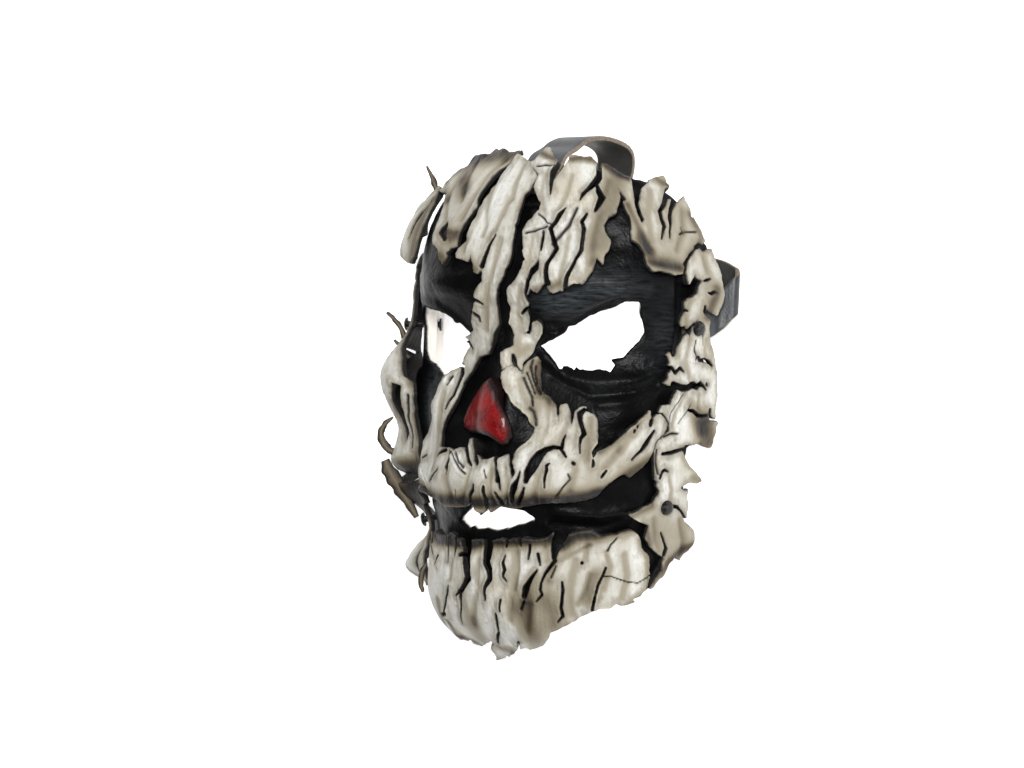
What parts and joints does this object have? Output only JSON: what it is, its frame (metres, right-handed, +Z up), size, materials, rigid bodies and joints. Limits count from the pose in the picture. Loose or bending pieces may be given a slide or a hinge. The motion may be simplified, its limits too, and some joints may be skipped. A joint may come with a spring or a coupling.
{
  "type": "leather clown mask",
  "caption": "Full-face moulded leather clown mask: black base, torn off-white leather skin, red nose, open eyes and mouth, and flat straps behind.",
  "frame": {"origin": "middle of the underside of the part, on the plane that it lies on", "axes": "+X towards the wearer's left, +Y towards the top of the head, +Z up, out of the face; the mask lies on its back"},
  "size_m": [0.1692, 0.2385, 0.072],
  "materials": {
    "black_leather": "satin black dyed moulded leather with grey wear",
    "bone_leather": "off-white painted leather, satin, airbrushed brown at the torn edges",
    "red_leather": "deep red gloss lacquered leather",
    "strap_leather": "grey-black strap leather with raw brown edges",
    "rivet_metal": "black painted domed rivets"
  },
  "bodies": {
    "root": {"base_shell": "black_leather", "nose": "red_leather", "skin_forehead_left": "bone_leather", "skin_forehead_middle": "bone_leather", "skin_forehead_right": "bone_leather", "skin_temple_left": "bone_leather", "skin_side_left": "bone_leather", "skin_muzzle": "bone_leather", "skin_jaw_left": "bone_leather", "skin_chin": "bone_leather", "skin_temple_right": "bone_leather", "skin_side_right": "bone_leather", "skin_jaw_right": "bone_leather", "rivet_upper_left": "rivet_metal", "rivet_lower_left": "rivet_metal", "rivet_upper_right": "rivet_metal", "rivet_lower_right": "rivet_metal", "strap_temple_left": "strap_leather", "strap_temple_right": "strap_leather", "strap_crown": "strap_leather", "strap_pad": "strap_leather", "rivet_pad_1": "rivet_metal", "rivet_pad_2": "rivet_metal", "rivet_pad_3": "rivet_metal"}
  },
  "joints": []
}
